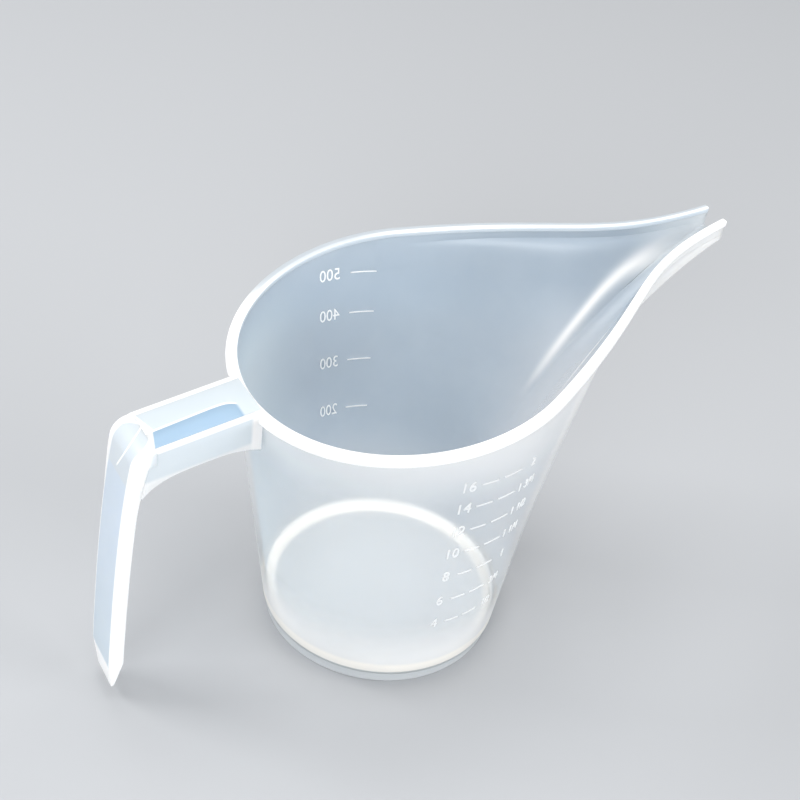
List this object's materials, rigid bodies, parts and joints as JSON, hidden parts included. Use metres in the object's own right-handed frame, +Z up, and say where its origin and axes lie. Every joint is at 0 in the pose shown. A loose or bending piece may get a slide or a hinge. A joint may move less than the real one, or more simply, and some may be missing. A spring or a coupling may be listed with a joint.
{
  "type": "long-spout measuring cup",
  "caption": "Tapering round plastic cup on a low foot, its front drawn into a long narrow open spout, with a flat rim band and a hanging strap handle opposite the spout.",
  "frame": {"origin": "on the table, in the cup's plane of symmetry, midway between the cut end of the spout and the outermost face of the grip", "axes": "+X from the handle towards the spout, +Z up from the table the cup stands on, +Y to the left when looking along the spout"},
  "size_m": [0.2028, 0.1048, 0.1272],
  "materials": {
    "wall_plastic": "natural milky translucent polypropylene wall, smooth satin gloss",
    "web_plastic": "thin natural polypropylene, bluish where the dark shows through",
    "thick_plastic": "natural polypropylene, near white where it is thick"
  },
  "bodies": {
    "root": {"foot_ring": "thick_plastic", "cup_floor": "wall_plastic", "cup_wall": "wall_plastic", "spout": "wall_plastic", "rim_flange": "thick_plastic", "arm_web": "web_plastic", "arm_plate_left": "wall_plastic", "arm_plate_right": "wall_plastic", "grip": "thick_plastic"}
  },
  "joints": []
}
